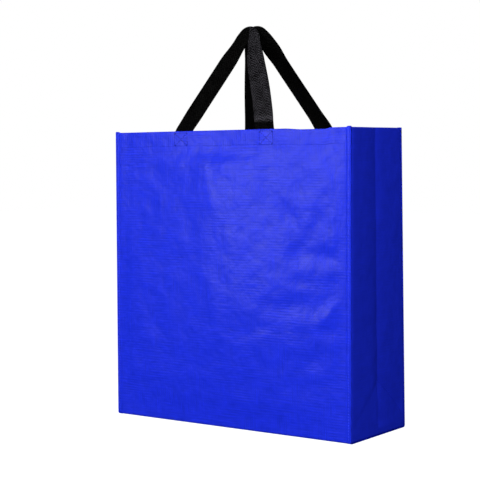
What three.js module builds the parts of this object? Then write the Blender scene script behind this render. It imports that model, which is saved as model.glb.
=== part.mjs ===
// A woven polypropylene shopping bag with two webbing handles, standing open and upright.
// Millimetres, +Z up. The origin is on the floor under the middle of the bag, and the front faces -Y.
import * as THREE from 'three';

// The bag
const BAG_WIDTH = 400; // across the folded edges of the front panel
const BASE_DEPTH = 140; // front to back on the floor
const MOUTH_DEPTH = 130; // front to back at the rim
const BAG_HEIGHT = 410;
const SHEET = 0.6; // the laminated woven sheet
const CLEARANCE = 0.3; // between layers that lie on each other
const BASE_CORNER = 3; // radius of the fold between a panel and the base
const HEM_DEPTH = 25; // the rim is folded inwards this far
const WELT_WIDTH = 8; // the sewn edge of the panels
const WELT_RAISE = 0.4; // how far the sewn edge stands proud
const FOLD_STEPS = 4; // half the segments in each bend
const SAME_POINT = 0.01; // points nearer than this are one

// The side panels
const GUSSET_INSET = 3; // from the folded edge of the front panel back to the side panel
const GUSSET_FLANGE = 9; // the edge that is sewn behind the front, back and base
const FLANGE_END = 1; // what the mitred corner of the flange stops short
const CREASE_DEPTH = 2.5; // how far the middle crease is drawn in
const CREASE_SHIFT = 3; // the right-hand crease lies this far behind the middle
const CREASE_APEX = 78; // height at which the two slanting creases meet

// The handles
const STRAP_WIDTH = 28;
const STRAP_THICKNESS = 1.6;
const STRAP_APEX_WIDTH = 25.5; // the webbing gathers where it turns over
const APEX_INNER_RADIUS = 1; // its inner edge there
const FOOT_DEPTH = 25; // sewn inside the hem, down from the rim
const FOOT_UPRIGHT = 8; // the lower part of the foot, before it bends sideways
const FOOT_RADIUS = 43; // that sideways bend, along the middle of the strap
const HANDLE_RISE = 145; // from the rim to the top of the loop
const LEAN_START = 8; // pull of the curve that leans the strap over, at its lower end
const LEAN_END = 11; // and at its upper end
const APEX_UPRIGHT = 8; // the straps lie flat on each other this far below the top
const STRAP_STEP = 7; // greatest length of a segment
const FRONT_HANDLE = { left: -78, right: 67, apex: -7 };
const BACK_HANDLE = { left: -48, right: 80, apex: 7.5 };

const BLUE = new THREE.MeshStandardMaterial({ color: 0x2e3de0, roughness: 0.42, metalness: 0 });
const BLACK = new THREE.MeshStandardMaterial({ color: 0x141416, roughness: 0.8, metalness: 0 });

// The corners of a path, with each bend in short steps and no point twice.
function cornersOf(path) {
  const points = path.getPoints(FOLD_STEPS);
  return points.filter((point, i) => i === 0 || point.distanceTo(points[i - 1]) > SAME_POINT);
}

// A point of a flat path moved sideways, to the left of the way the path runs, with mitred bends.
function offsetPoint(path, index, distance) {
  const before = path[Math.max(index - 1, 0)];
  const here = path[index];
  const after = path[Math.min(index + 1, path.length - 1)];
  const arriving = here.clone().sub(index > 0 ? before : after).normalize();
  const leaving = after.clone().sub(here).normalize();
  if (index === 0) arriving.negate();
  if (index === path.length - 1) leaving.copy(arriving);
  const normal = new THREE.Vector2(-arriving.y - leaving.y, arriving.x + leaving.x).normalize();
  const mitre = -normal.x * arriving.y + normal.y * arriving.x;
  return here.clone().addScaledVector(normal, distance / mitre);
}

// A thin closed sheet: a box of one layer whose columns, rows and two faces are put in place.
function bentSheet(columnCount, rowCount, place) {
  const geometry = new THREE.BoxGeometry(1, 1, 1, columnCount - 1, rowCount - 1, 1);
  const position = geometry.attributes.position;
  for (let i = 0; i < position.count; i += 1) {
    const column = Math.round((position.getX(i) + 0.5) * (columnCount - 1));
    const row = Math.round((position.getY(i) + 0.5) * (rowCount - 1));
    const point = place(column, row, Math.sign(position.getZ(i)));
    position.setXYZ(i, point.x, point.y, point.z);
  }
  geometry.computeVertexNormals();
  return geometry;
}

const rimCentre = MOUTH_DEPTH / 2 - SHEET / 2;
const baseCentre = BASE_DEPTH / 2 - SHEET / 2;
const layerPitch = SHEET + CLEARANCE; // from one layer to the next, centre to centre
const foldRadius = layerPitch / 2;
const foldHeight = BAG_HEIGHT - SHEET / 2 - foldRadius;

// The front, base and back in one length of sheet, with the rim folded inwards at both ends.
function bodyPath() {
  const path = new THREE.Path();
  const cornerHeight = SHEET / 2 + BASE_CORNER;
  path.moveTo(-rimCentre + layerPitch, foldHeight - HEM_DEPTH);
  path.lineTo(-rimCentre + layerPitch, foldHeight);
  path.absarc(-rimCentre + foldRadius, foldHeight, foldRadius, 0, Math.PI, false);
  path.lineTo(-baseCentre, cornerHeight);
  path.absarc(-baseCentre + BASE_CORNER, cornerHeight, BASE_CORNER, Math.PI, 1.5 * Math.PI, false);
  path.lineTo(baseCentre - BASE_CORNER, SHEET / 2);
  path.absarc(baseCentre - BASE_CORNER, cornerHeight, BASE_CORNER, -0.5 * Math.PI, 0, false);
  path.lineTo(rimCentre, foldHeight);
  path.absarc(rimCentre - foldRadius, foldHeight, foldRadius, 0, Math.PI, false);
  path.lineTo(rimCentre - layerPitch, foldHeight - HEM_DEPTH);
  return cornersOf(path);
}

function bodySheet() {
  const path = bodyPath();
  const edge = BAG_WIDTH / 2;
  const columns = [-edge, -edge + WELT_WIDTH, edge - WELT_WIDTH, edge];
  return bentSheet(columns.length, path.length, (column, row, side) => {
    const x = columns[column];
    const onWelt = Math.abs(x) === edge && path[row].y > BASE_CORNER + SHEET;
    const raise = onWelt && side < 0 ? WELT_RAISE : 0;
    const point = offsetPoint(path, row, side * (SHEET / 2 + raise));
    return new THREE.Vector3(x, point.x, point.y);
  });
}

// The side panel runs down the side and turns in over the base. x is how far in, y the height.
function gussetPath() {
  const path = new THREE.Path();
  const radius = BASE_CORNER - layerPitch;
  const lip = SHEET / 2 + layerPitch;
  path.moveTo(layerPitch, foldHeight - HEM_DEPTH);
  path.lineTo(layerPitch, foldHeight);
  path.absarc(foldRadius, foldHeight, foldRadius, 0, Math.PI, false);
  path.lineTo(0, foldHeight - HEM_DEPTH);
  path.lineTo(0, CREASE_APEX);
  path.lineTo(0, CREASE_APEX / 2);
  path.lineTo(0, lip + radius);
  path.absarc(radius, lip + radius, radius, Math.PI, 1.5 * Math.PI, false);
  path.lineTo(GUSSET_FLANGE - FLANGE_END, lip);
  return cornersOf(path);
}

// Half the depth of the side panel: inside the panels at the base, and inside their hem above.
function gussetHalfDepth(height) {
  const atBase = baseCentre - layerPitch;
  const atHem = rimCentre - 2 * layerPitch;
  const share = Math.min(Math.max(height / (foldHeight - HEM_DEPTH), 0), 1);
  return atBase + (atHem - atBase) * share;
}

function creaseDepth(across, height) {
  return CREASE_DEPTH * Math.min(1 - Math.abs(across), Math.max(height, 0) / CREASE_APEX, 1);
}

// The right-hand side panel: a flange behind the front, the creased side, a flange behind the back.
function gussetSheet() {
  const path = gussetPath();
  const sideX = BAG_WIDTH / 2 - GUSSET_INSET - SHEET / 2;
  const across = [-1, -0.5, 0, 0.5, 1];
  const last = across.length + 1;
  return bentSheet(across.length + 2, path.length, (column, row, side) => {
    const point = offsetPoint(path, row, side * SHEET / 2);
    const half = gussetHalfDepth(point.y);
    if (column === 0 || column === last) {
      const y = (column === 0 ? -1 : 1) * (half - point.x);
      return new THREE.Vector3(sideX - GUSSET_FLANGE, y, point.y);
    }
    const place = across[column - 1];
    const y = place * (half - point.x) + CREASE_SHIFT * (1 - Math.abs(place));
    return new THREE.Vector3(sideX - point.x - creaseDepth(place, point.y), y, point.y);
  });
}

// How the strap leans, seen from the side: up inside the hem, over to the middle, then upright.
function leanPath(facing) {
  const path = new THREE.Path();
  const footY = facing * (rimCentre - layerPitch - SHEET / 2 - CLEARANCE - STRAP_THICKNESS / 2);
  const apexY = facing * (STRAP_THICKNESS + CLEARANCE) / 2;
  const top = BAG_HEIGHT + HANDLE_RISE;
  const over = top - APEX_UPRIGHT;
  path.moveTo(footY, BAG_HEIGHT - FOOT_DEPTH);
  path.lineTo(footY, BAG_HEIGHT);
  path.bezierCurveTo(footY, BAG_HEIGHT + LEAN_START, apexY, over - LEAN_END, apexY, over);
  path.lineTo(apexY, top);
  return path;
}

const apexRadius = APEX_INNER_RADIUS + STRAP_APEX_WIDTH / 2;

// The angle from upright of a leg that is tangent to the bend in the foot and the bend at the apex.
function legAngle(reach, rise) {
  const across = reach - FOOT_RADIUS;
  const bendGap = FOOT_RADIUS - apexRadius;
  return Math.atan2(across, rise) + Math.asin(bendGap / Math.hypot(across, rise));
}

// The middle line of the strap, laid flat. x is sideways and y runs up the strap's face.
function strapLine({ left, right, apex }, top) {
  const centre = top - STRAP_APEX_WIDTH / 2 - apexRadius;
  const leftAngle = legAngle(apex - left, centre - FOOT_UPRIGHT);
  const rightAngle = legAngle(right - apex, centre - FOOT_UPRIGHT);
  const leftCentre = left + FOOT_RADIUS;
  const rightCentre = right - FOOT_RADIUS;
  const path = new THREE.Path();
  path.moveTo(left, 0);
  path.lineTo(left, FOOT_UPRIGHT);
  path.absarc(leftCentre, FOOT_UPRIGHT, FOOT_RADIUS, Math.PI, Math.PI - leftAngle, true);
  path.absarc(apex, centre, apexRadius, Math.PI - leftAngle, rightAngle, true);
  path.absarc(rightCentre, FOOT_UPRIGHT, FOOT_RADIUS, rightAngle, 0, true);
  path.lineTo(right, 0);
  return cornersOf(path);
}

function subdivided(points, step) {
  const fine = [points[0]];
  for (let i = 1; i < points.length; i += 1) {
    const count = Math.ceil(points[i].distanceTo(points[i - 1]) / step);
    for (let k = 1; k <= count; k += 1) fine.push(points[i - 1].clone().lerp(points[i], k / count));
  }
  return fine;
}

// Half the width of the strap: full on the legs, gathered in the last stretch before the apex.
function strapHalfWidth(height, top) {
  const gathered = top - STRAP_APEX_WIDTH;
  const share = Math.min(Math.max((height - gathered + STRAP_WIDTH) / STRAP_WIDTH, 0), 1);
  return (STRAP_WIDTH + (STRAP_APEX_WIDTH - STRAP_WIDTH) * share) / 2;
}

function handleStrap(feet, facing) {
  const lean = leanPath(facing);
  const top = lean.getLength();
  const line = subdivided(strapLine(feet, top), STRAP_STEP);
  return bentSheet(3, line.length, (column, row, side) => {
    const half = strapHalfWidth(line[row].y, top);
    const flat = offsetPoint(line, row, (1 - column) * half);
    const along = THREE.MathUtils.clamp(flat.y / top, 0, 1);
    const point = lean.getPoint(along);
    const way = lean.getTangent(along);
    const depth = side * STRAP_THICKNESS / 2;
    return new THREE.Vector3(flat.x, point.x - way.y * depth, point.y + way.x * depth);
  });
}

function piece(name, geometry, material) {
  const mesh = new THREE.Mesh(geometry, material.clone());
  mesh.name = name;
  return mesh;
}

const bag = new THREE.Group();
bag.add(piece('body_sheet', bodySheet(), BLUE));
const gussetRight = piece('gusset_right', gussetSheet(), BLUE);
const gussetLeft = piece('gusset_left', gussetSheet(), BLUE);
gussetLeft.rotation.z = Math.PI;
bag.add(gussetRight, gussetLeft);
bag.add(piece('handle_front', handleStrap(FRONT_HANDLE, -1), BLACK));
bag.add(piece('handle_back', handleStrap(BACK_HANDLE, 1), BLACK));

export default bag;
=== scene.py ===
"""A woven polypropylene shopping bag with two webbing handles, standing open on a white floor.

Metres, +Z up. The front of the bag faces -Y, and the origin is on the floor under its middle.
"""

import logging
import math
import random
from dataclasses import dataclass
from enum import Enum
from itertools import accumulate
from typing import Callable, Sequence

import bmesh
import bpy
from bmesh.types import BMesh
from bpy.types import ID, Material, Mesh, Node, NodeSocket, Object, World
from mathutils import Matrix, Vector, noise


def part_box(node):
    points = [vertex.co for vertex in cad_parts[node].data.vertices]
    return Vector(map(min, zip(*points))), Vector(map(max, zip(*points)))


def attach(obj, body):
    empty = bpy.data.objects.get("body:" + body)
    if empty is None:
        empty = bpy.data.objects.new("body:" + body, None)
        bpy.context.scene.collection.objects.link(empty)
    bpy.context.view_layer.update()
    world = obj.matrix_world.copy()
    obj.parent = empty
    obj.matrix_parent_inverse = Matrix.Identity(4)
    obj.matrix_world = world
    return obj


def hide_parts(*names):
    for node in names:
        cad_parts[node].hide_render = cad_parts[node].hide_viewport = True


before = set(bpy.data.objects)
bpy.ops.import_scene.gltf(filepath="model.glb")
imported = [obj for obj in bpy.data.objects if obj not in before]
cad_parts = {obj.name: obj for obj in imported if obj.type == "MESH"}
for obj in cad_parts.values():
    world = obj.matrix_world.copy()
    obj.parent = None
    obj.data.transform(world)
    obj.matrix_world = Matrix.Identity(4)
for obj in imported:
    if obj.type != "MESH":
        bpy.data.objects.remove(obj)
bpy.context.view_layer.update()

log = logging.getLogger("bag")

MM = 0.001
CLOTH_MAP = "cloth"
SHEEN_ATTRIBUTE = "painted_sheen"
WELT_GROUP = "welt"
SHARP_ANGLE = math.radians(50)

Spot = tuple[float, ...]
Place = Callable[[int, int], Vector]
Flat = Callable[[int, int], Spot]


class Facing(Enum):
    """The side of the bag that a piece belongs to, as the sign of Y."""

    FRONT = -1
    BACK = 1


class Hand(Enum):
    """A side panel's side of the bag, as the sign of X."""

    RIGHT = 1
    LEFT = -1


def smooth_step(low: float, high: float, value: float) -> float:
    """Rises from 0 at low to 1 at high, level at both ends."""
    share = min(max((value - low) / (high - low), 0.0), 1.0)
    return share * share * (3 - 2 * share)


def bell(value: float, width: float) -> float:
    """1 at zero, falling away over the width on both sides."""
    return math.exp(-0.5 * (value / width) ** 2)


def steps(start: float, end: float, step: float) -> list[float]:
    """Even values from start to end, both among them, about a step apart."""
    count = max(1, round(abs(end - start) / step))
    return [start + (end - start) * k / count for k in range(count + 1)]


def arc(centre: Spot, radius: float, start: float, end: float, count: int) -> list[Spot]:
    """Points on a round bend.

    Args:
        centre: The middle of the bend.
        radius: Its radius.
        start: The first angle, in radians.
        end: The last angle.
        count: How many steps there are between them.

    Returns:
        The points, both ends among them.
    """
    turns = (start + (end - start) * k / count for k in range(count + 1))
    return [(centre[0] + radius * math.cos(turn), centre[1] + radius * math.sin(turn)) for turn in turns]


def lengths(path: Sequence[Spot]) -> list[float]:
    """The length along a path at each of its points, by their first two values."""
    return list(accumulate((math.dist(a[:2], b[:2]) for a, b in zip(path, path[1:])), initial=0.0))


@dataclass(frozen=True)
class BagSizes:
    """The sizes that the sheet, the side panels and the handles share."""

    width: float
    base_depth: float
    height: float = 410 * MM
    mouth_depth: float = 130 * MM
    sheet: float = 0.6 * MM
    clearance: float = 0.3 * MM
    base_corner: float = 3 * MM
    hem: float = 25 * MM
    welt: float = 8 * MM
    inset: float = 3 * MM
    flange: float = 9 * MM
    flange_end: float = 1 * MM

    @classmethod
    def from_frame(cls) -> "BagSizes":
        """Takes the outer width and depth from the body sheet's own box."""
        low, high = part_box("body_sheet")
        return cls(width=high[0] - low[0], base_depth=high[1] - low[1])

    @property
    def pitch(self) -> float:
        """From one layer of sheet to the next, middle to middle."""
        return self.sheet + self.clearance

    @property
    def fold_height(self) -> float:
        """Where the fold at the rim begins."""
        return self.height - self.sheet / 2 - self.pitch / 2

    def panel(self, height: float) -> float:
        """Half the depth between the middles of the front and back panels.

        Args:
            height: Where it is asked for.

        Returns:
            The half depth, which narrows evenly from the base to the rim.
        """
        low, high = self.base_depth / 2 - self.sheet / 2, self.mouth_depth / 2 - self.sheet / 2
        start = self.sheet / 2 + self.base_corner
        share = (height - start) / (self.fold_height - start)
        return low + (high - low) * min(max(share, 0.0), 1.0)


@dataclass(frozen=True)
class Dent:
    """One soft fold in a panel, in millimetres, a valley where its depth is positive.

    The angle is in degrees from level, and the length runs that way.
    """

    x: float
    z: float
    length: float
    width: float
    angle: float
    depth: float

    def at(self, x: float, z: float) -> float:
        """How far the cloth stands out here.

        Args:
            x: Along the panel, in metres.
            z: Height, in metres.

        Returns:
            Metres outwards.
        """
        turn = math.radians(self.angle)
        right, up = x - self.x * MM, z - self.z * MM
        along = right * math.cos(turn) + up * math.sin(turn)
        across = up * math.cos(turn) - right * math.sin(turn)
        return -self.depth * MM * bell(across, self.width * MM) * bell(along, self.length * MM)


@dataclass(frozen=True)
class ClothLie:
    """How the cloth lies: the soft folds, the fullness of the panels and the waves of the rim."""

    sizes: BagSizes
    front: tuple[Dent, ...]
    back: tuple[Dent, ...]
    fullness: float = 7.0 * MM
    full_height: float = 145 * MM
    full_spread: float = 95 * MM
    billow: float = 0.8 * MM
    billow_size: float = 110 * MM
    rumple: float = 0.6 * MM
    rumple_size: float = 27 * MM
    panel_seed: float = 0.3
    side_seed: float = 4.7
    hem_stiffness: float = 0.7
    rim_wave: float = 1.1 * MM
    rim_wave_length: float = 210 * MM
    rim_phase: float = 0.18
    rim_band: float = 70 * MM
    dip: float = 1.6 * MM
    dip_start: Spot = (96 * MM, 126 * MM)
    dip_end: Spot = (160 * MM, 168 * MM)
    edge: float = 24 * MM
    foot: float = 45 * MM
    corner_lift: float = 1.1 * MM
    lift_width: Spot = (9 * MM, 4 * MM)
    lift_height: float = 12 * MM
    back_lift: float = 0.2

    def _billow(self, x: float, z: float, seed: float) -> float:
        """The slow uneven swell of a panel, with smaller rumples on it."""
        place = Vector((x, z, seed))
        slow = self.billow * noise.noise(place / self.billow_size)
        return slow + self.rumple * noise.noise(place / self.rumple_size)

    def panel(self, facing: Facing, x: float, z: float) -> float:
        """How far out of its plane the front or back panel lies.

        Args:
            facing: The panel.
            x: Along the panel.
            z: Height.

        Returns:
            Metres outwards, 0 at the seams and the base.
        """
        sizes, top, sign = self.sizes, self.sizes.height, facing.value
        held = smooth_step(0.0, self.edge, sizes.width / 2 - sizes.welt - abs(x))
        held *= smooth_step(0.0, self.foot, z)
        stiff = 1 - self.hem_stiffness * smooth_step(top - 2 * sizes.hem, top - sizes.hem, z)
        full = self.fullness * bell(z - self.full_height, self.full_spread)
        full *= 1 - (2 * x / sizes.width) ** 2
        folds = sum(dent.at(x, z) for dent in (self.front if facing is Facing.FRONT else self.back))
        wave = self.rim_wave * math.sin(math.tau * (x / self.rim_wave_length + self.rim_phase * sign))
        rim = smooth_step(top - self.rim_band, top, z)
        return held * (full + (folds + self._billow(x, z, self.panel_seed * sign)) * stiff + wave * rim)

    def settle(self, point: Vector, facing: Facing) -> Vector:
        """Moves a point of the front or back panel, or of what is sewn to it, to how it lies.

        Args:
            point: The point on the plain bag.
            facing: Its panel.

        Returns:
            The moved point. The front's rim dips towards its right end, and the welts' ends stand up.
        """
        half, height = self.sizes.width / 2, self.sizes.height
        moved = point.copy()
        moved.y += facing.value * self.panel(facing, point.x, point.z)
        if facing is Facing.FRONT:
            inside = smooth_step(*self.dip_start, point.x) * (1 - smooth_step(*self.dip_end, point.x))
            moved.z -= self.dip * inside * smooth_step(height - self.rim_band, height, point.z)
        at_welt = smooth_step(*(half - away for away in self.lift_width), abs(point.x))
        lift = self.corner_lift * (1 if facing is Facing.FRONT else self.back_lift)
        moved.z += lift * at_welt * smooth_step(height - self.lift_height, height, point.z)
        return moved

    def side_panel(self, y: float, z: float) -> float:
        """How far out of its plane a side panel lies, away from its creases."""
        held = smooth_step(0.0, self.edge, self.sizes.panel(z) - abs(y)) * smooth_step(0.0, self.foot, z)
        return held * self._billow(y, z, self.side_seed)


def front_dents() -> tuple[Dent, ...]:
    """The folds that show on the front panel, each by its fields in their order."""
    rows = (
        (-12, 325, 95, 58, 92, -4.6), (-26, 330, 27, 5.5, 107, -0.55), (6, 272, 22, 8.0, 90, -0.4),
        (-52, 300, 34, 8.0, 84, 0.3), (-108, 300, 42, 12.0, 125, -0.5), (60, 303, 14, 6.0, 160, 0.5),
        (103, 295, 18, 8.0, 138, 0.9), (140, 272, 36, 7.0, 49, 0.65), (152, 243, 34, 8.0, -2, 1.4),
        (120, 208, 16, 6.0, 2, 0.8), (178, 208, 11, 6.0, 0, 0.8), (124, 176, 33, 11.0, 14, 1.7),
        (64, 178, 17, 8.0, 2, 0.9), (170, 171, 20, 5.5, 42, -1.5), (168, 146, 21, 6.5, 6, 0.8),
        (30, 134, 17, 7.0, 0, 0.7), (66, 144, 13, 5.0, 8, 0.5), (146, 104, 32, 9.0, 9, 0.7),
        (140, 68, 36, 9.0, 5, 0.6), (-20, 205, 45, 12.0, 100, -0.6), (-70, 150, 48, 13.0, 24, 0.5),
        (-120, 130, 26, 9.0, 130, 0.5),
    )
    return tuple(Dent(*row) for row in rows)


def stray_dents(seed: int, half: float, height: float, count: int) -> tuple[Dent, ...]:
    """Soft folds for a panel that isn't seen in the picture, in the same manner as the front.

    Args:
        seed: Picks the folds.
        half: Half the panel's width, in millimetres.
        height: The panel's height, in millimetres.
        count: How many folds.

    Returns:
        The folds.
    """
    draw = random.Random(seed)
    return tuple(
        Dent(
            x=draw.uniform(-0.8, 0.8) * half,
            z=draw.uniform(0.2, 0.85) * height,
            length=draw.uniform(16, 44),
            width=draw.uniform(4, 11),
            angle=draw.choice((0, 45, 80, 95, 130)) + draw.uniform(-12, 12),
            depth=draw.uniform(0.6, 1.4),
        )
        for _ in range(count)
    )


def linked(name: str, data: ID) -> Object:
    """Puts a mesh, a lamp or a camera into the scene as an object."""
    item = bpy.data.objects.new(name, data)
    bpy.context.scene.collection.objects.link(item)
    return item


def smoothed(name: str, work: BMesh) -> Object:
    """Turns a finished mesh into an object with smooth shading.

    Args:
        name: The piece's name.
        work: The mesh, which is freed.

    Returns:
        The new object.
    """
    for face in work.faces:
        face.smooth = True
    mesh = bpy.data.meshes.new(name)
    work.to_mesh(mesh)
    work.free()
    return linked(name, mesh)


def bent_grid(name: str, columns: int, rows: int, place: Place, flat: Flat) -> Object:
    """A sheet made from a flat grid, with each crossing put in its place.

    Args:
        name: The piece's name.
        columns: Crossings across.
        rows: Crossings along.
        place: Gives the place of a crossing from its column and row.
        flat: Gives the place of a crossing on the cloth as it was cut, in metres.

    Returns:
        The new object, with the cut cloth as its UV map.
    """
    work = bmesh.new()
    bmesh.ops.create_grid(work, x_segments=columns - 1, y_segments=rows - 1, size=0.5)
    cloth = work.loops.layers.uv.new(CLOTH_MAP)
    where = {
        vert.index: (round((vert.co.x + 0.5) * (columns - 1)), round((vert.co.y + 0.5) * (rows - 1)))
        for vert in work.verts
    }
    for face in work.faces:
        for loop in face.loops:
            loop[cloth].uv = flat(*where[loop.vert.index])
    for vert in work.verts:
        vert.co = place(*where[vert.index])
    return smoothed(name, work)


def walled(piece: Object, thickness: float, group: str = "") -> None:
    """Gives a sheet its thickness, half of it on each side.

    Args:
        piece: The sheet.
        thickness: The whole thickness.
        group: The vertex group that holds each point's share of it, if it varies.
    """
    wall = piece.modifiers.new("wall", "SOLIDIFY")
    wall.thickness = thickness
    wall.offset = 0.0
    wall.vertex_group = group


def settled(piece: Object) -> Object:
    """Makes the modifiers part of the mesh, and marks its sharp edges.

    Args:
        piece: The object with its modifiers.

    Returns:
        The same object.
    """
    shape = piece.evaluated_get(bpy.context.evaluated_depsgraph_get())
    mesh = bpy.data.meshes.new_from_object(shape)
    old = piece.data
    piece.modifiers.clear()
    piece.data = mesh
    bpy.data.meshes.remove(old)
    mesh.name = piece.name
    mesh.set_sharp_from_angle(angle=SHARP_ANGLE)
    return piece


def dressed(piece: Object, materials: Sequence[Material], node: str = "") -> Object:
    """Gives a piece its finish and its place in the frame.

    Args:
        piece: The piece.
        materials: Its finish, and then the painted shade of the faces marked as its cut edge, if any.
        node: The solid that it stands for, if any.

    Returns:
        The same piece.
    """
    for material in materials:
        piece.data.materials.append(material)
    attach(piece, "root")
    if node:
        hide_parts(node)
    log.info("%s: %d faces", piece.name, len(piece.data.polygons))
    return piece


def operation(kind: str, swapped: bool = False) -> Callable[..., "Number"]:
    """Makes an operator or method of Number.

    Args:
        kind: The Math node's operation.
        swapped: Whether the number is the node's last value.

    Returns:
        The method, which adds the node and returns its value.
    """

    def method(self: "Number", *others: "Number | float") -> "Number":
        """Adds the Math node."""
        values = (*others, self) if swapped else (self, *others)
        node = self.shader.node("ShaderNodeMath", {"operation": kind}, dict(enumerate(values)))
        return Number(self.shader, node.outputs[0])

    return method


class Number:
    """A number in a shader, whose operators and methods add Math nodes."""

    def __init__(self, shader: "Shader", socket: NodeSocket) -> None:
        """Wraps a socket of the shader."""
        self.shader = shader
        self.socket = socket

    __add__ = __radd__ = operation("ADD")
    __sub__ = operation("SUBTRACT")
    __rsub__ = operation("SUBTRACT", swapped=True)
    __mul__ = __rmul__ = operation("MULTIPLY")
    __truediv__ = operation("DIVIDE")
    __rtruediv__ = operation("DIVIDE", swapped=True)
    sine = operation("SINE")
    size = operation("ABSOLUTE")
    zigzag = operation("PINGPONG")
    above = operation("GREATER_THAN")
    at_most = operation("MINIMUM")
    at_least = operation("MAXIMUM")


class Shader:
    """The nodes of one material, or of the world."""

    def __init__(self, owner: Material | World) -> None:
        """Empties the owner's node tree."""
        owner.use_nodes = True
        self.owner = owner
        self.tree = owner.node_tree
        self.tree.nodes.clear()

    @classmethod
    def named(cls, name: str) -> "Shader":
        """Starts a new material."""
        return cls(bpy.data.materials.new(name))

    def node(self, kind: str, settings: dict | None = None, inputs: dict | None = None) -> Node:
        """Adds a node.

        Args:
            kind: The node's type.
            settings: Its own settings, set before its sockets.
            inputs: Values or links of its sockets, by name or by place.

        Returns:
            The node.
        """
        node = self.tree.nodes.new(kind)
        for key, value in (settings or {}).items():
            setattr(node, key, value)
        for key, value in (inputs or {}).items():
            if isinstance(value, Number):
                value = value.socket
            if isinstance(value, NodeSocket):
                self.tree.links.new(value, node.inputs[key])
            else:
                node.inputs[key].default_value = value
        return node

    def parts(self, place: NodeSocket) -> list[Number]:
        """The three values of a place."""
        outputs = self.node("ShaderNodeSeparateXYZ", inputs={"Vector": place}).outputs
        return [Number(self, outputs[axis]) for axis in "XYZ"]

    def seen(self) -> Number:
        """1 for what the camera sees, by itself or in gloss or glass, and 0 for what lights."""
        path = self.node("ShaderNodeLightPath").outputs
        either = Number(self, path["Is Camera Ray"]).at_least(Number(self, path["Is Glossy Ray"]))
        return either.at_least(Number(self, path["Is Transmission Ray"]))

    def cloth(self) -> list[Number]:
        """The place on the cloth as it was cut: across and along, in metres."""
        return self.parts(self.node("ShaderNodeUVMap", {"uv_map": CLOTH_MAP}).outputs["UV"])[:2]

    def grain(self, x: Number, y: Number, seed: float, detail: float = 2.0) -> Number:
        """Uneven grain.

        Args:
            x: First coordinate, in grains.
            y: Second coordinate, in grains.
            seed: Picks the grain.
            detail: Finer layers.

        Returns:
            The grain, about 0 on the whole and half a unit at most.
        """
        place = self.node("ShaderNodeCombineXYZ", inputs={"X": x, "Y": y, "Z": seed})
        inputs = {"Vector": place.outputs[0], "Scale": 1.0, "Detail": detail, "Roughness": 0.5}
        return Number(self, self.node("ShaderNodeTexNoise", inputs=inputs).outputs["Fac"]) - 0.5

    def blend(self, share: Number, dark: Spot, light: Spot) -> NodeSocket:
        """A colour between two.

        Args:
            share: The share of the light one.
            dark: The dark one.
            light: The light one.

        Returns:
            The colour.
        """
        settings = {"data_type": "RGBA", "clamp_factor": True}
        inputs = {0: share, 6: (*dark, 1.0), 7: (*light, 1.0)}
        return self.node("ShaderNodeMix", settings, inputs).outputs[2]

    def bump(self, height: Number, depth: float, under: NodeSocket | None = None) -> NodeSocket:
        """A relief.

        Args:
            height: The relief, from about -1 to 1.
            depth: What a height of 1 is, in metres.
            under: The normal of a relief that this one lies on.

        Returns:
            The bent normal.
        """
        inputs = {"Height": height, "Distance": depth, "Strength": 1.0}
        if under is not None:
            inputs["Normal"] = under
        return self.node("ShaderNodeBump", inputs=inputs).outputs["Normal"]

    def finish(
        self, colour: NodeSocket, roughness: Number | float, shine: float, normal: NodeSocket
    ) -> Material:
        """Ends a material with its surface.

        Args:
            colour: Its colour.
            roughness: Its roughness.
            shine: How strongly it mirrors.
            normal: The normal of its relief.

        Returns:
            The material.
        """
        inputs = {"Base Color": colour, "Roughness": roughness, "Specular IOR Level": shine}
        inputs["Normal"] = normal
        surface = self.node("ShaderNodeBsdfPrincipled", inputs=inputs)
        self.node("ShaderNodeOutputMaterial", inputs={"Surface": surface.outputs[0]})
        return self.owner


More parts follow.
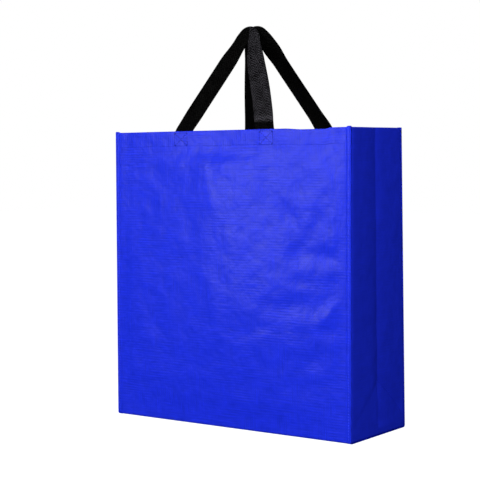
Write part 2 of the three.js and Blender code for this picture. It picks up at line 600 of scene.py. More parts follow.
@dataclass(frozen=True)
class WovenSheetFinish:
    """Flat tapes woven over and under, under a thin clear film.

    In patches the level tapes show as streaks, and elsewhere the upright ones. The tone fields are each
    part's weight in the colour, and the rise fields its weight in the relief.
    """

    name: str = "woven_sheet"
    deep: Spot = (0.009, 0.025, 0.61)
    bright: Spot = (0.015, 0.036, 0.90)
    tape: float = 1.85 * MM
    streak: float = 24 * MM
    patch: float = 30 * MM
    patch_contrast: float = 3.0
    level_share: float = 0.62
    wander: float = 2.6 * MM
    wander_size: Spot = (22 * MM, 9 * MM)
    rib_tone: float = 0.11
    over_tone: float = 0.09
    streak_tone: float = 1.35
    crinkle_tone: float = 0.5
    contrast: float = 1.0
    rib_rise: float = 0.4
    over_rise: float = 0.35
    streak_rise: float = 1.3
    relief: float = 0.06 * MM
    crinkle: float = 0.8 * MM
    crinkle_size: float = 17 * MM
    roughness: float = 0.31
    crinkle_roughness: float = 0.12
    shine: float = 0.005

    def material(self) -> Material:
        """Makes the material."""
        shader = Shader.named(self.name)
        across, along = shader.cloth()
        turn = math.pi / self.tape
        level = shader.grain(across / self.streak, along / self.tape, seed=1.7)
        upright = shader.grain(across / self.tape, along / self.streak, seed=8.3)
        side = shader.grain(across / self.patch, along / self.patch, seed=6.4, detail=1.0)
        share = (side * self.patch_contrast + self.level_share).at_least(0.0).at_most(1.0)
        wide, tall = self.wander_size
        wander = shader.grain(across / wide, along / tall, seed=4.4) * self.wander
        ribs = ((along + wander) * turn).sine() * share + ((across + wander) * turn).sine() * (1 - share)
        over = (across * turn).sine() * (along * turn).sine()
        crinkle = shader.grain(across / self.crinkle_size, along / self.crinkle_size, seed=3.1)
        weave = ribs * self.rib_tone + over * self.over_tone
        weave += (level * share + upright * (1 - share)) * self.streak_tone
        tone = 0.5 + weave * self.contrast + crinkle * self.crinkle_tone
        rise = ribs * self.rib_rise + over * self.over_rise + (level + upright) * self.streak_rise
        return shader.finish(
            shader.blend(tone, self.deep, self.bright),
            self.roughness + crinkle * self.crinkle_roughness,
            self.shine,
            shader.bump(rise, self.relief, under=shader.bump(crinkle, self.crinkle)),
        )


@dataclass(frozen=True)
class WebbingFinish:
    """Herringbone webbing with a plain edge, paler where a painted sheen is marked: the light caught on the
    face where its ribs show.
    """

    deep: Spot = (0.0004, 0.0004, 0.0004)
    bright: Spot = (0.0052, 0.0052, 0.0050)
    # painted sheen: the paler pair of colours, for the faces that catch the light
    sheen_deep: Spot = (0.0004, 0.0004, 0.0005)
    sheen_bright: Spot = (0.072, 0.069, 0.081)
    half: float = 14 * MM
    selvedge: float = 1.8 * MM
    selvedge_rise: float = 0.5
    chevron: float = 6.5 * MM
    rib: float = 4.3 * MM
    plain_rib: float = 2.58 * MM
    relief: float = 0.16 * MM
    fuzz: float = 1.6 * MM
    fuzz_rise: float = 0.8
    worn: Spot = (9 * MM, 14 * MM)
    tone: float = 0.36
    rib_tone: float = 0.3
    fuzz_tone: float = 1.9
    roughness: float = 0.78
    fuzz_roughness: float = 0.2
    shine: float = 0.001

    def material(self) -> Material:
        """Makes the material."""
        shader = Shader.named("webbing")
        across, along = shader.cloth()
        twill = ((along + across.zigzag(self.chevron)) * (math.tau / self.rib)).sine()
        plain = (along * (math.tau / self.plain_rib)).sine()
        edge = across.size().above(self.half - self.selvedge)
        ribs = twill * (1 - edge) + plain * edge * self.selvedge_rise
        fuzz = shader.grain(across / self.fuzz, along / self.fuzz, seed=2.2)
        wide, tall = self.worn
        worn = shader.grain(across / wide, along / tall, seed=5.5)
        tone = self.tone + ribs * self.rib_tone + fuzz * self.fuzz_tone + worn
        # painted sheen: the marked faces blend to the paler colours
        face = shader.node("ShaderNodeAttribute", {"attribute_name": SHEEN_ATTRIBUTE}).outputs["Fac"]
        sides = {6: shader.blend(tone, self.deep, self.bright)}
        sides[7] = shader.blend(tone, self.sheen_deep, self.sheen_bright)
        colour = shader.node("ShaderNodeMix", {"data_type": "RGBA"}, {0: face, **sides}).outputs[2]
        rough = self.roughness + fuzz * self.fuzz_roughness
        normal = shader.bump(ribs + fuzz * self.fuzz_rise, self.relief)
        return shader.finish(colour, rough, self.shine, normal)


@dataclass(frozen=True)
class ThreadFinish:
    """Twisted sewing thread, or a cut edge, in a given blue: near that of the sheet, and darker where it
    carries painted shade.
    """

    name: str
    colour: Spot
    paler: float = 1.5
    ply: float = 0.5 * MM
    ply_tone: float = 0.4
    relief: float = 0.04 * MM
    roughness: float = 0.6
    shine: float = 0.005

    def material(self) -> Material:
        """Makes the material."""
        shader = Shader.named(self.name)
        x, y, z = shader.parts(shader.node("ShaderNodeTexCoord").outputs["Object"])
        twist = ((x + y + z) * (math.tau / self.ply)).sine()
        pale = tuple(self.paler * part for part in self.colour)
        colour = shader.blend(0.5 + twist * self.ply_tone, self.colour, pale)
        return shader.finish(colour, self.roughness, self.shine, shader.bump(twist, self.relief))


@dataclass(frozen=True)
class FloorFinish:
    """A pale floor that shows as white and keeps a faint shadow."""

    glow: float = 0.965
    seen_grey: float = 0.3
    lit_grey: float = 0.34

    def material(self) -> Material:
        """Makes the material."""
        shader = Shader.named("floor")
        thin, matt = (
            shader.node("ShaderNodeBsdfDiffuse", inputs={"Color": (grey, grey, grey, 1)}).outputs[0]
            for grey in (self.seen_grey, self.lit_grey)
        )
        light = shader.node("ShaderNodeEmission", inputs={"Strength": self.glow}).outputs[0]
        shown = shader.node("ShaderNodeAddShader", inputs={0: thin, 1: light}).outputs[0]
        surface = shader.node("ShaderNodeMixShader", inputs={0: shader.seen(), 1: matt, 2: shown})
        shader.node("ShaderNodeOutputMaterial", inputs={"Surface": surface.outputs[0]})
        return shader.owner


@dataclass(frozen=True)
class BodySheet:
    """The front, the base and the back in one length of sheet, with the rim folded inwards.

    The welt's profile is how far out it stands, by the distance from the cut edge, in millimetres.
    """

    sizes: BagSizes
    lie: ClothLie
    step: float = 4 * MM
    fold_steps: int = 8
    corner_steps: int = 6
    welt_profile: tuple[Spot, ...] = (
        (0.0, 0.02), (1.2, 0.12), (2.6, 0.2), (4.0, 0.27), (5.0, 0.3), (5.8, 0.12),
        (6.6, -0.16), (7.2, -0.25), (7.9, -0.16), (9.2, -0.1), (10.6, -0.04), (12.0, 0.0),
    )
    seam: float = 7.2 * MM
    seam_width: float = 0.6 * MM
    thick: float = 1.2 * MM
    edge_round: float = 0.8 * MM
    edge_left: float = 0.1 * MM
    cut_facing: float = 0.7
    cut_band: float = 0.2 * MM

    def _columns(self) -> list[float]:
        """Places across the sheet, close together at the sewn edges."""
        edge = self.sizes.width / 2
        fine = [edge - away * MM for away, _ in reversed(self.welt_profile)]
        return [-x for x in reversed(fine)] + steps(-fine[0], fine[0], self.step)[1:-1] + fine

    def _proud(self, away: float) -> float:
        """How far out the sewn edge stands.

        Args:
            away: The distance from the cut edge.

        Returns:
            Metres outwards.
        """
        profile = self.welt_profile
        for (near, height), (far, next_height) in zip(profile, profile[1:]):
            if away <= far * MM:
                share = (away / MM - near) / (far - near)
                return (height + (next_height - height) * share) * MM
        return 0.0

    def _rows(self) -> list[Spot]:
        """The path of the sheet from hem to hem.

        Returns:
            Its depth and height at each point.
        """
        sizes, fold = self.sizes, self.sizes.fold_height
        rim, low = sizes.panel(fold), sizes.panel(0.0)
        half, corner = sizes.pitch / 2, sizes.base_corner
        centre = sizes.sheet / 2 + corner
        side = [(-rim + sizes.pitch, z) for z in steps(fold - sizes.hem, fold, self.step)[:-1]]
        side += arc((-rim + half, fold), half, 0.0, math.pi, self.fold_steps)
        side += [(-sizes.panel(z), z) for z in steps(fold, centre, self.step)[1:-1]]
        side += arc((-low + corner, centre), corner, math.pi, 1.5 * math.pi, self.corner_steps)
        base = [(y, sizes.sheet / 2) for y in steps(corner - low, low - corner, self.step)[1:-1]]
        return side + base + [(-y, z) for y, z in reversed(side)]

    def _thickness(self, x: float) -> float:
        """How thick the sheet is, for the layers that are sewn together at its edge.

        Args:
            x: The distance from the middle.

        Returns:
            The share of the doubled thickness.
        """
        edge = self.sizes.width / 2
        plain, seam = self.sizes.sheet / self.thick, edge - self.seam
        doubled = smooth_step(seam, seam + self.seam_width, x)
        doubled *= smooth_step(0.0, self.edge_round, edge + self.edge_left - x)
        return plain + (1 - plain) * doubled

    def build(self, woven: Material, edge_shade: Material) -> Object:
        """Makes the sheet and dresses it.

        Args:
            woven: The sheet's finish.
            edge_shade: The dark blue of its cut edges, painted shade of the gap between the sewn layers.

        Returns:
            The piece.
        """
        columns, rows = self._columns(), self._rows()
        along, edge = lengths(rows), self.sizes.width / 2

        def place(column: int, row: int) -> Vector:
            """The crossing's place, on the lie of the cloth."""
            x, (y, z) = columns[column], rows[row]
            facing = Facing.FRONT if y < 0 else Facing.BACK
            up = smooth_step(0.0, 2 * self.sizes.base_corner, z)
            point = Vector((x, y + facing.value * self._proud(edge - abs(x)) * up, z))
            return self.lie.settle(point, facing)

        piece = bent_grid("body_cloth", len(columns), len(rows), place, lambda c, r: (columns[c], along[r]))
        group = piece.vertex_groups.new(name=WELT_GROUP)
        for vert in piece.data.vertices:
            group.add([vert.index], self._thickness(abs(vert.co.x)), "REPLACE")
        walled(piece, self.thick, WELT_GROUP)
        for face in settled(piece).data.polygons:
            # painted shade: the cut edge's faces get a dark blue for the gap between the sewn layers
            if abs(face.normal.x) > self.cut_facing and abs(face.center.x) > edge - self.cut_band:
                face.material_index = 1
        return dressed(piece, (woven, edge_shade), "body_sheet")


@dataclass(frozen=True)
class SidePanel:
    """A side panel with its hem, its creases and the flange that is sewn behind its neighbours.

    The creases blend between two shares of the apex's height, and their widths change between two heights.
    The cloth starts where the panel was cut from it, so that its grain isn't that of the body.
    """

    sizes: BagSizes
    lie: ClothLie
    hand: Hand
    fullness: float = 3.2 * MM
    rounding: float = 0.9 * MM
    round_width: float = 3.2 * MM
    crease_depth: float = 1.5 * MM
    crease_pinch: float = 2.2 * MM
    crease_blunt: float = 1 * MM
    left_widths: Spot = (9 * MM, 14 * MM)
    right_widths: Spot = (15 * MM, 9 * MM)
    width_change: Spot = (130 * MM, 330 * MM)
    crease_shift: float = 0.6 * MM
    apex: float = 76 * MM
    apex_blend: Spot = (0.6, 1.1)
    leg_slope: float = 0.85
    right_leg: float = 2.8 * MM
    left_leg: float = 0.4 * MM
    leg_margin: float = 12 * MM
    middle_fold: float = 4.0 * MM
    middle_shift: float = 3 * MM
    middle_start: Spot = (8 * MM, 22 * MM)
    fold_width: float = 2.6 * MM
    fold_fade: float = 14 * MM
    step: float = 3.6 * MM
    fine: float = 1.2 * MM
    fine_band: float = 8 * MM
    outer_step: float = 1.56 * MM
    crease_step: float = 0.96 * MM
    lip_step: float = 2 * MM
    fold_steps: int = 8
    corner_steps: int = 4
    flange_steps: int = 3
    cloth_start: float = 0.7

    def _rows(self) -> list[Spot]:
        """The path of the panel from the hem down to the lip on the base.

        Returns:
            Its way in and its height at each point.
        """
        sizes, fold = self.sizes, self.sizes.fold_height
        half, radius = sizes.pitch / 2, sizes.base_corner - sizes.pitch
        lip, folded = sizes.sheet / 2 + sizes.pitch, self.apex + self.fine_band
        rows = [(sizes.pitch, z) for z in steps(fold - sizes.hem, fold, self.step)[:-1]]
        rows += arc((half, fold), half, 0.0, math.pi, self.fold_steps)
        rows += [(0.0, z) for z in steps(fold, folded, self.step)[1:]]
        rows += [(0.0, z) for z in steps(folded, lip + radius, self.fine)[1:-1]]
        rows += arc((radius, lip + radius), radius, math.pi, 1.5 * math.pi, self.corner_steps)
        return rows + [(x, lip) for x in steps(radius, sizes.flange - sizes.flange_end, self.lip_step)[1:]]

    def _half(self, height: float) -> float:
        """Half the panel's depth: inside the front and back, and inside their hem above.

        Args:
            height: Where it is asked for.

        Returns:
            The half depth.
        """
        sizes = self.sizes
        at_base = sizes.base_depth / 2 - sizes.sheet / 2 - sizes.pitch
        at_hem = sizes.mouth_depth / 2 - sizes.sheet / 2 - 2 * sizes.pitch
        share = min(max(height / (sizes.fold_height - sizes.hem), 0.0), 1.0)
        return at_base + (at_hem - at_base) * share

    def _drawn_in(self, y: float, z: float, half: float) -> float:
        """How far the creases draw the cloth in.

        Args:
            y: From the middle crease.
            z: Height.
            half: Half the panel's depth.

        Returns:
            Metres inwards.
        """
        away = math.sqrt(y * y + self.crease_blunt**2)
        fold_line = self.apex - self.leg_slope * away
        slope = max(1 - away / half, 0.0) * min(max(z / fold_line, 0.0), 1.0)
        above = smooth_step(*(share * self.apex for share in self.apex_blend), z)
        low, high = self.right_widths if y > 0 else self.left_widths
        width = low + (high - low) * smooth_step(*self.width_change, z)
        pinch = self.crease_pinch * math.exp(-away / width) * above
        outside = (z - fold_line) / math.hypot(1, self.leg_slope)
        leg = self._fold_line(outside, self.right_leg) if y > 0 else self._fold_line(-outside, self.left_leg)
        leg *= smooth_step(0.0, self.leg_margin, half - abs(y))
        middle = self._fold_line(y + self.middle_shift, self.middle_fold)
        middle *= smooth_step(*self.middle_start, z) * (1 - above)
        return self.crease_depth * slope * slope + pinch + leg + middle

    def _fold_line(self, across: float, depth: float) -> float:
        """How far in the cloth lies at a distance from a pressed fold: a short drop, then a slow return."""
        dropped = smooth_step(-self.fold_width, self.fold_width, across)
        return depth * dropped * math.exp(-max(across, 0.0) / self.fold_fade)

    def build(self, woven: Material) -> Object:
        """Makes the panel and dresses it.

        Args:
            woven: Its finish.

        Returns:
            The piece.
        """
        sizes, rows, whole = self.sizes, self._rows(), self._half(0.0)
        side = sizes.width / 2 - sizes.inset - sizes.sheet / 2
        near = self.fine_band / whole
        outer = steps(near, 1.0, self.outer_step / whole)
        inner = steps(-near, near, self.crease_step / whole)[1:-1]
        web = [-share for share in reversed(outer)] + inner + outer
        flange = [k / self.flange_steps for k in range(self.flange_steps)]
        last = len(flange) * 2 + len(web) - 1
        along = lengths(rows)

        def section(column: int, inward: float, half: float) -> Spot:
            """The section's place as X and Y, before the creases draw it in."""
            if column < len(flange) or column > last - len(flange):
                share = flange[min(column, last - column)]
                x = side - (sizes.flange + (inward - sizes.flange) * share)
                return x, (half - inward) * (-1 if column < len(flange) else 1)
            return side - inward, (half - inward) * web[column - len(flange)]

        def place(column: int, row: int) -> Vector:
            """The crossing's place, on the lie of the cloth."""
            inward, z = rows[row]
            half = self._half(z)
            x, y = section(column, inward, half)
            if len(flange) <= column <= last - len(flange):
                rounded = self.rounding * smooth_step(half - self.round_width, half, abs(y))
                x += self.fullness - rounded + self.lie.side_panel(y, z) - self._drawn_in(y, z, half)
                y += self.crease_shift * (1 - abs(y) / half)
            return Vector((self.hand.value * x, self.hand.value * y, z))

        def flat(column: int, row: int) -> Spot:
            """The crossing's place on the cut cloth."""
            x, y = section(column, 0.0, whole)
            way = 0.0 if abs(y) < whole - MM else (side - x) * math.copysign(1, y)
            return self.cloth_start + y + way, along[row]

        name = self.hand.name.lower()
        piece = bent_grid(f"side_cloth_{name}", last + 1, len(rows), place, flat)
        walled(piece, sizes.sheet)
        return dressed(settled(piece), (woven,), f"gusset_{name}")


@dataclass(frozen=True)
class Draw:
    """How far a leg is drawn towards its handle's apex: most at a depth below it, less above and below."""

    amount: float
    below: float
    spread: float

    def at(self, depth: float) -> float:
        """The way in at a depth below the apex."""
        return self.amount * bell(depth - self.below, self.spread)


@dataclass(frozen=True)
class Handle:
    """One length of webbing, sewn inside the rim at both ends and drawn up to the middle.

    Left, right and apex are places along X. The turns, in degrees, and the draws are of the left leg and
    then the right. The paler face is a painted sheen: it starts at a height above the rim, with painted
    shade below, and fades above a painted highlight band where the strap bends.
    """

    sizes: BagSizes
    lie: ClothLie
    facing: Facing
    left: float
    right: float
    apex: float
    draws: tuple[Draw, Draw]
    strap: float = 28 * MM
    thickness: float = 1.6 * MM
    apex_strap: float = 25.5 * MM
    apex_inner: float = 1 * MM
    foot: float = 25 * MM
    foot_upright: float = 8 * MM
    foot_radius: float = 43 * MM
    rise: float = 145 * MM
    lean_start: float = 8 * MM
    lean_end: float = 11 * MM
    lean_steps: int = 80
    apex_upright: float = 8 * MM
    turns: Spot = (0.0, 0.0)
    draw_width: float = 8 * MM
    # whether the left leg's painted sheen goes on its inner face, which leaves its outer face dark
    sheen_inside_left_leg: bool = False
    # painted sheen from a height above the rim, painted shade below it, and a painted highlight band where
    # the strap bends
    sheen_start: float = 11 * MM
    sheen_edge: float = 2 * MM
    bend_highlight_fade: Spot = (5 * MM, 10 * MM)
    sheen_share: float = 0.55
    shoulder: float = 1.2 * MM
    shoulder_width: float = 9 * MM
    shoulder_reach: float = 30 * MM
    bevel: float = 0.45 * MM
    bevel_segments: int = 2
    bevel_angle: float = 60.0
    step: float = 2.4 * MM
    columns: int = 13

    @property
    def foot_y(self) -> float:
        """Where the middle of the strap lies inside the hem."""
        sizes = self.sizes
        inside = sizes.mouth_depth / 2 - sizes.sheet / 2 - sizes.pitch - sizes.sheet / 2
        return self.facing.value * (inside - sizes.clearance - self.thickness / 2)

    def _lean(self) -> list[Spot]:
        """The strap seen from the side, upright at both ends and a smooth curve between.

        Returns:
            Its length so far, its depth and its height at each point.
        """
        sizes = self.sizes
        apex_y = self.facing.value * (self.thickness + sizes.clearance) / 2
        top = sizes.height + self.rise
        over = top - self.apex_upright
        points = [(self.foot_y, z) for z in steps(sizes.height - self.foot, sizes.height, self.step)[:-1]]
        corners = (
            (self.foot_y, sizes.height),
            (self.foot_y, sizes.height + self.lean_start),
            (apex_y, over - self.lean_end),
            (apex_y, over),
        )
        for k in range(self.lean_steps + 1):
            t = k / self.lean_steps
            shares = ((1 - t) ** 3, 3 * t * (1 - t) ** 2, 3 * t * t * (1 - t), t**3)
            points.append(tuple(sum(s * c[i] for s, c in zip(shares, corners)) for i in range(2)))
        points.append((apex_y, top))
        return [(length, *point) for length, point in zip(lengths(points), points)]

    def _straight(self, start: Spot, end: Spot) -> list[Spot]:
        """Even points between one point of the line and another."""
        shares = steps(0.0, 1.0, self.step / math.dist(start[:2], end[:2]))[1:-1]
        return [tuple(a + (b - a) * share for a, b in zip(start, end)) for share in shares]

    def _centre_line(self, top: float) -> list[Spot]:
        """The middle of the strap laid flat.

        Args:
            top: How far up the strap's outer edge reaches.

        Returns:
            Its places across and up, and its heading from upright, from the left foot to the right.
        """
        radius = self.apex_inner + self.apex_strap / 2
        centre = top - self.apex_strap / 2 - radius

        def leg(reach: float) -> float:
            """The angle from upright of a leg that is tangent to both of its bends."""
            across, up = reach - self.foot_radius, centre - self.foot_upright
            return math.atan2(across, up) + math.asin((self.foot_radius - radius) / math.hypot(across, up))

        def bend(foot: float, sign: int, turn: float) -> Spot:
            """A place on the bend above a foot, after a turn from upright."""
            across = foot + sign * self.foot_radius * (1 - math.cos(turn))
            return across, self.foot_upright + self.foot_radius * math.sin(turn)

        left, right = leg(self.apex - self.left), leg(self.right - self.apex)
        upright, turn_step = steps(0.0, self.foot_upright, self.step), self.step / self.foot_radius
        rising = [(self.left, up, 0.0) for up in upright[:-1]]
        rising += [(*bend(self.left, 1, turn), turn) for turn in steps(0.0, left, turn_step)]
        over = [
            (self.apex - radius * math.cos(turn), centre + radius * math.sin(turn), turn)
            for turn in steps(left, math.pi - right, self.step / radius / 2)
        ]
        falling = [(*bend(self.right, -1, turn), math.pi - turn) for turn in steps(right, 0.0, turn_step)]
        line = rising + self._straight(rising[-1], over[0]) + over + self._straight(over[-1], falling[0])
        return line + falling + [(self.right, up, math.pi) for up in reversed(upright[:-1])]

    def build(self, webbing: Material) -> Object:
        """Makes the strap and dresses it.

        Args:
            webbing: Its finish.

        Returns:
            The piece.
        """
        lean = self._lean()
        top = lean[-1][0]
        line = self._centre_line(top)
        along = lengths(line)
        middle = min(range(len(line)), key=lambda i: abs(line[i][2] - math.pi / 2))

        def rolled(length: float) -> tuple[Vector, Vector]:
            """The place and the outward way of the strap's face, at a length up it."""
            length = min(max(length, 0.0), top)
            k = next(i for i in range(1, len(lean)) if lean[i][0] >= length)
            (s0, y0, z0), (s1, y1, z1) = lean[k - 1], lean[k]
            share = (length - s0) / (s1 - s0)
            way = Vector((0.0, y1 - y0, z1 - z0)).normalized()
            out = Vector((0.0, -way.z, way.y)) * -self.facing.value
            return Vector((0.0, y0 + (y1 - y0) * share, z0 + (z1 - z0) * share)), out

        def place(column: int, row: int) -> Vector:
            """The crossing's place."""
            across, up, heading = line[row]
            u = 1 - 2 * column / (self.columns - 1)
            gathered = smooth_step(top - self.apex_strap - self.strap, top - self.apex_strap, up)
            half = (self.strap + (self.apex_strap - self.strap) * gathered) / 2
            flat_x = across - u * half * math.cos(heading)
            flat_up = up + u * half * math.sin(heading)
            leg_turn, draw = self.turns[row > middle], self.draws[row > middle]
            aside = flat_x - self.apex
            drawn = draw.at(top - flat_up) * (1 - bell(aside, self.draw_width))
            point, out = rolled(flat_up)
            point.x = flat_x - math.copysign(drawn, aside)
            from_apex = along[row] - along[middle]
            rounded = (1 - bell(from_apex, self.shoulder_width)) * bell(from_apex, self.shoulder_reach)
            leg = smooth_step(self.foot, 2 * self.foot, up) * (1 - gathered)
            point += out * (self.shoulder * rounded + half * u * leg * math.sin(math.radians(leg_turn)))
            free = smooth_step(self.sizes.height, self.sizes.height + self.foot, point.z)
            return point.lerp(self.lie.settle(point, self.facing), 1 - free)

        def flat(column: int, row: int) -> Spot:
            """The crossing's place on the cut webbing."""
            return (column / (self.columns - 1) - 0.5) * self.strap, along[row] - along[middle]

        name = self.facing.name.lower()
        piece = bent_grid(f"webbing_{name}", self.columns, len(line), place, flat)
        walled(piece, self.thickness)
        edge = piece.modifiers.new("edge", "BEVEL")
        edge.width = self.bevel
        edge.segments = self.bevel_segments
        edge.limit_method = "ANGLE"
        edge.angle_limit = math.radians(self.bevel_angle)
        self._paint_sheen(settled(piece).data)
        return dressed(piece, (webbing,), f"handle_{name}")

    def _paint_sheen(self, mesh: Mesh) -> None:
        """Paints a sheen on the webbing's outer side, moved to the inner side on the left leg where that is
        set, above a band of painted shade where it is sewn in.

        Args:
            mesh: The strap's mesh, which gets each face's share of the painted sheen.
        """
        mark = mesh.attributes.new(SHEEN_ATTRIBUTE, "FLOAT", "FACE")
        cloth = mesh.uv_layers[CLOTH_MAP].data
        for face in mesh.polygons:
            outward = face.normal.y * self.facing.value > 0
            along = sum(cloth[i].uv.y for i in face.loop_indices)
            sheened = outward != (self.sheen_inside_left_leg and along < 0)
            # painted shade below the sheen's start, then a painted highlight band where the strap bends
            height = face.center.z - self.sizes.height - self.sheen_start
            share = 1 - (1 - self.sheen_share) * smooth_step(*self.bend_highlight_fade, height)
            share *= smooth_step(-self.sheen_edge, self.sheen_edge, height)
            mark.data[face.index].value = share if sheened else 0.0

    def length(self) -> float:
        """The cut length of the webbing."""
        return lengths(self._centre_line(self._lean()[-1][0]))[-1]


@dataclass(frozen=True)
class Row:
    """A straight row of stitches on a panel, a distance outside the middle of its sheet."""

    facing: Facing
    start: Spot
    end: Spot
    out: float


@dataclass(frozen=True)
class Stitching:
    """Rows of lockstitch, each stitch a slim bead of thread that lies on the cloth."""

    sizes: BagSizes
    lie: ClothLie
    stitch: float = 2.9 * MM
    gap: float = 0.8 * MM
    thread: float = 0.75 * MM
    bead_sides: int = 6
    bead_rings: int = 4
    welt_row: float = 4 * MM
    welt_start: float = 4 * MM
    on_welt: float = 0.2 * MM
    hem_row: float = 20.5 * MM
    row_margin: float = 1.5 * MM
    sunk: float = 0.05 * MM
    box_width: float = 22 * MM
    box_height: float = 18 * MM
    box_top: float = 2.5 * MM

    def _bead(self, work: BMesh, start: Vector, end: Vector) -> None:
        """Adds one stitch to the mesh, between two points."""
        way = end - start
        turn = way.to_track_quat("Z", "X").to_matrix().to_4x4()
        scale = Matrix.Diagonal((self.thread / 2, self.thread / 2, way.length / 2, 1.0))
        matrix = Matrix.Translation((start + end) / 2) @ turn @ scale
        bead = bmesh.new()
        bmesh.ops.create_uvsphere(
            bead, u_segments=self.bead_sides, v_segments=self.bead_rings, radius=1.0, matrix=matrix
        )
        shape = bpy.data.meshes.new("bead")
        bead.to_mesh(shape)
        bead.free()
        work.from_mesh(shape)
        bpy.data.meshes.remove(shape)

    def _sewn(self, name: str, rows: Sequence[Row], thread: Material) -> Object:
        """Makes a piece of rows of stitches.

        Args:
            name: Its name.
            rows: The rows.
            thread: Its finish.

        Returns:
            The piece.
        """
        work = bmesh.new()
        share = self.stitch / (self.stitch + self.gap)
        for row in rows:
            count = max(2, round(math.dist(row.start, row.end) / (self.stitch + self.gap)))
            for k in range(count):
                ends = []
                for t in ((k + (1 - share) / 2) / count, (k + (1 + share) / 2) / count):
                    x, z = (a + (b - a) * t for a, b in zip(row.start, row.end))
                    point = Vector((x, row.facing.value * (self.sizes.panel(z) + row.out), z))
                    ends.append(self.lie.settle(point, row.facing))
                self._bead(work, *ends)
        return dressed(smoothed(name, work), (thread,))

    def welts(self, thread: Material) -> Object:
        """The rows along the sewn side edges of the front and back."""
        x, top = self.sizes.width / 2 - self.welt_row, self.sizes.height - self.row_margin
        out = self.sizes.sheet + self.on_welt
        places = [(facing, x * sign) for facing in Facing for sign in (-1, 1)]
        rows = [Row(facing, (at, self.welt_start), (at, top), out) for facing, at in places]
        return self._sewn("welt_stitching", rows, thread)

    def hem(self, thread: Material) -> Object:
        """The rows that hold the hem of the front and back."""
        x, z = self.sizes.width / 2 - self.sizes.welt - self.row_margin, self.sizes.height - self.hem_row
        rows = [Row(facing, (-x, z), (x, z), self.sizes.sheet / 2 + self.sunk) for facing in Facing]
        return self._sewn("hem_stitching", rows, thread)

    def feet(self, handles: Sequence[Handle], thread: Material) -> Object:
        """The boxes with a cross that hold the ends of the webbing, outside and inside.

        Args:
            handles: The handles.
            thread: The finish.

        Returns:
            The piece.
        """
        top = self.sizes.height - self.box_top
        low = top - self.box_height
        rows = []
        for handle in handles:
            inner = abs(handle.foot_y) - handle.thickness / 2 - self.sizes.panel(self.sizes.height)
            for middle in (handle.left, handle.right):
                a, b = middle - self.box_width / 2, middle + self.box_width / 2
                corners = ((a, low), (b, low), (b, top), (a, top), (a, low), (b, top))
                lines = [*zip(corners, corners[1:]), ((a, top), (b, low))]
                for out in (self.sizes.sheet / 2 + self.sunk, inner - self.sunk):
                    rows += [Row(handle.facing, start, end, out) for start, end in lines]
        return self._sewn("foot_stitching", rows, thread)


def bearing(turn: float, rise: float) -> Vector:
    """The way out from the bag, by degrees to the right of the front and degrees up."""
    turn, rise = math.radians(turn), math.radians(rise)
    return Vector((math.sin(turn) * math.cos(rise), -math.cos(turn) * math.cos(rise), math.sin(rise)))


@dataclass(frozen=True)
class Lamp:
    """Where a lamp's panel hangs and how strong it is.

    Degrees to the right of the front, degrees up, metres away, watts, and the panel's width and height.
    """

    turn: float
    rise: float
    away: float
    power: float
    width: float
    height: float
    aim: Spot = (0.0, 0.0, 0.25)

    def hang(self, name: str) -> Object:
        """Hangs the lamp so that it faces the middle of the bag.

        Args:
            name: Its name.

        Returns:
            The lamp.
        """
        panel = bpy.data.lights.new(name, "AREA")
        panel.shape = "RECTANGLE"
        panel.size = self.width
        panel.size_y = self.height
        panel.energy = self.power
        way = bearing(self.turn, self.rise)
        hung = linked(name, panel)
        place = Matrix.Translation(Vector(self.aim) + way * self.away)
        hung.matrix_world = place @ way.to_track_quat("Z", "Y").to_matrix().to_4x4()
        return hung


@dataclass(frozen=True)
class Studio:
    """The camera, the lamps, the white surround and the floor."""

    azimuth: float = 36.36
    elevation: float = 3.51
    roll: float = -0.69
    distance: float = 1.9354
    target: Spot = (-0.02626, 0.0, 0.25531)
    focal_pixels: float = 1361.9
    image_pixels: int = 480
    sensor: float = 36.0
    floor_size: float = 12.0
    ambient: float = 0.14
    key: Lamp = Lamp(-28.0, 15.0, 2.6, 31.3, 1.2, 1.2)
    fill: Lamp = Lamp(34.0, 33.0, 1.8, 19.0, 0.9, 0.9)
    strip: Lamp = Lamp(-30.7, 7.5, 5.0, 1320.0, 0.6, 1.4)

    def camera(self) -> None:
        """Puts the camera where the photograph was taken from."""
        turn, roll = math.radians(self.azimuth), math.radians(self.roll)
        back = bearing(self.azimuth, self.elevation)
        right = Vector((math.cos(turn), math.sin(turn), 0.0))
        up = back.cross(right)
        across = right * math.cos(roll) + up * math.sin(roll)
        upward = up * math.cos(roll) - right * math.sin(roll)
        lens = bpy.data.cameras.new("camera")
        lens.sensor_width = self.sensor
        lens.lens = self.focal_pixels / self.image_pixels * self.sensor
        camera = linked("camera", lens)
        turned = Matrix((across, upward, back)).transposed().to_4x4()
        camera.matrix_world = Matrix.Translation(Vector(self.target) + back * self.distance) @ turned
        bpy.context.scene.camera = camera

    def lamps(self) -> None:
        """Hangs the soft lamps, and a tall strip that only shows as gloss on the front."""
        self.key.hang("key")
        self.fill.hang("fill")
        self.strip.hang("strip").visible_diffuse = False

    def surround(self) -> None:
        """A white surround that is dimmer as a source of light."""
        world = bpy.data.worlds.new("surround")
        bpy.context.scene.world = world
        shader = Shader(world)
        strength = shader.seen() * (1.0 - self.ambient) + self.ambient
        inputs = {"Color": (1.0, 1.0, 1.0, 1.0), "Strength": strength}
        background = shader.node("ShaderNodeBackground", inputs=inputs)
        shader.node("ShaderNodeOutputWorld", inputs={"Surface": background.outputs[0]})

    def floor(self) -> None:
        """Lays the floor."""
        work = bmesh.new()
        bmesh.ops.create_grid(work, x_segments=1, y_segments=1, size=self.floor_size / 2)
        floor = smoothed("floor", work)
        floor.data.materials.append(FloorFinish().material())


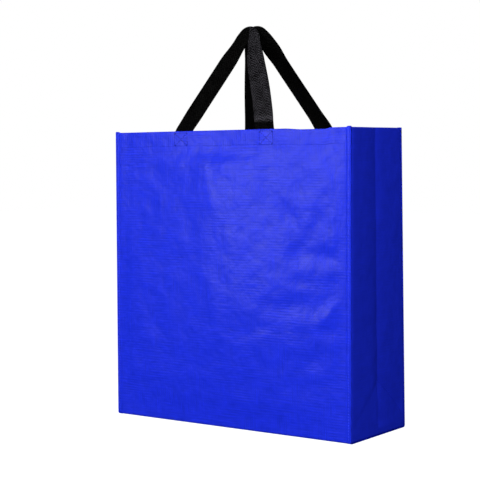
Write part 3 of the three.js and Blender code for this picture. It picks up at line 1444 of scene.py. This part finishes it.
def handle_pair(sizes: BagSizes, lie: ClothLie) -> tuple[Handle, Handle]:
    """The front handle, with its painted sheen on the right leg's outer face and the left leg's inner face,
    and the back one.
    """
    front = Handle(
        sizes, lie, Facing.FRONT, left=-78 * MM, right=67.6 * MM, apex=-3.6 * MM, turns=(5.0, -4.0),
        draws=(Draw(2.4 * MM, 18 * MM, 16 * MM), Draw(6.0 * MM, 30 * MM, 34 * MM)), sheen_inside_left_leg=True,
    )
    back = Handle(
        sizes, lie, Facing.BACK, left=-49 * MM, right=80.6 * MM, apex=6.0 * MM, turns=(0.0, -8.0),
        draws=(Draw(5.4 * MM, 20 * MM, 48 * MM), Draw(3.7 * MM, 12 * MM, 12 * MM)), apex_strap=30 * MM,
    )
    return front, back


def main() -> None:
    """Builds the bag, then the studio around it."""
    logging.basicConfig(level=logging.INFO, format="%(name)s: %(message)s")
    bpy.context.scene.view_settings.view_transform = "Standard"
    sizes = BagSizes.from_frame()
    unseen = stray_dents(seed=11, half=sizes.width / 2 / MM, height=sizes.height / MM, count=12)
    lie = ClothLie(sizes, front=front_dents(), back=unseen)
    handles = handle_pair(sizes, lie)
    stitching = Stitching(sizes, lie)

    woven, webbing = WovenSheetFinish().material(), WebbingFinish().material()
    side_woven = WovenSheetFinish(
        "side_woven_sheet", deep=(0.010, 0.025, 0.62), bright=(0.017, 0.037, 0.92),
        contrast=0.4, relief=0.02 * MM, shine=0.0,
    ).material()
    blues = {
        # painted shade: the cut edge's dark blue stands for the gap between the sewn layers
        "edge_shade": (0.002, 0.008, 0.16),
        "pale_thread": (0.03, 0.06, 0.75),
        # painted shade: the hem and foot threads are darker for the shadow in their needle holes
        "hem_thread_shaded": (0.008, 0.024, 0.52),
        "foot_thread_shaded": (0.001, 0.006, 0.20),
    }
    edge_shade, pale, hem_shaded, deep = (ThreadFinish(name, blue).material() for name, blue in blues.items())

    body = BodySheet(sizes, lie).build(woven, edge_shade)
    sides = [SidePanel(sizes, lie, hand).build(side_woven) for hand in Hand]
    straps = [handle.build(webbing) for handle in handles]
    # the hem and the feet get the threads with painted shade
    rows = [stitching.welts(pale), stitching.hem(hem_shaded), stitching.feet(handles, deep)]

    for handle, piece in zip(handles, straps):
        handle.length()

    studio = Studio()
    studio.camera()
    studio.lamps()
    studio.surround()
    studio.floor()


if __name__ == "__main__":
    main()
